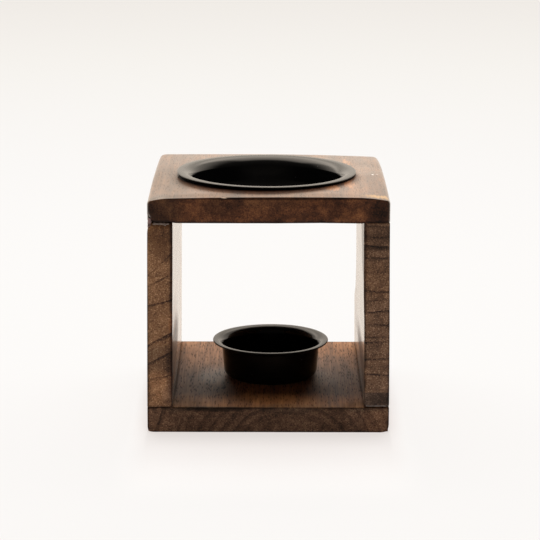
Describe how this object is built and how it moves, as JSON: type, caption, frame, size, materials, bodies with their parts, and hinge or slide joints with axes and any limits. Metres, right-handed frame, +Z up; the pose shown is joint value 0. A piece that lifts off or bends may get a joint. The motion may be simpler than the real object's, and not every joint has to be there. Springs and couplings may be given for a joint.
{
  "type": "essential oil burner",
  "caption": "Open cube frame of dark stained wooden boards with a lift-out black steel oil bowl in its top and a loose flanged tealight cup on its base.",
  "frame": {"origin": "middle of the flat underside of the base board", "axes": "+Z up, +Y from the front to the back along the boards, +X to the right as seen from the front"},
  "size_m": [0.1004, 0.103, 0.1014],
  "materials": {
    "base_wood": "dark stain under satin lacquer",
    "side_wood": "dark stain under satin lacquer",
    "top_wood": "dark stain under satin lacquer",
    "dowel_wood": "bare hardwood",
    "screw_steel": "zinc plated",
    "black_steel": "satin black"
  },
  "bodies": {
    "frame": {"base_board": "base_wood", "left_side_board": "side_wood", "right_side_board": "side_wood", "top_board": "top_wood", "top_left_dowels": "dowel_wood", "top_right_dowels": "dowel_wood", "base_left_screws": "screw_steel", "base_right_screws": "screw_steel"},
    "bowl": {"oil_bowl": "black_steel"},
    "cup": {"tealight_cup": "black_steel"}
  },
  "joints": [
    {"name": "bowl_lift", "type": "slide", "parent": "frame", "child": "bowl", "axis": [0, 0, 1], "range_m": [0, 0.06]},
    {"name": "cup_slide", "type": "slide", "parent": "frame", "child": "cup", "axis": [0, -1, 0], "range_m": [-0.08, 0.08]}
  ]
}
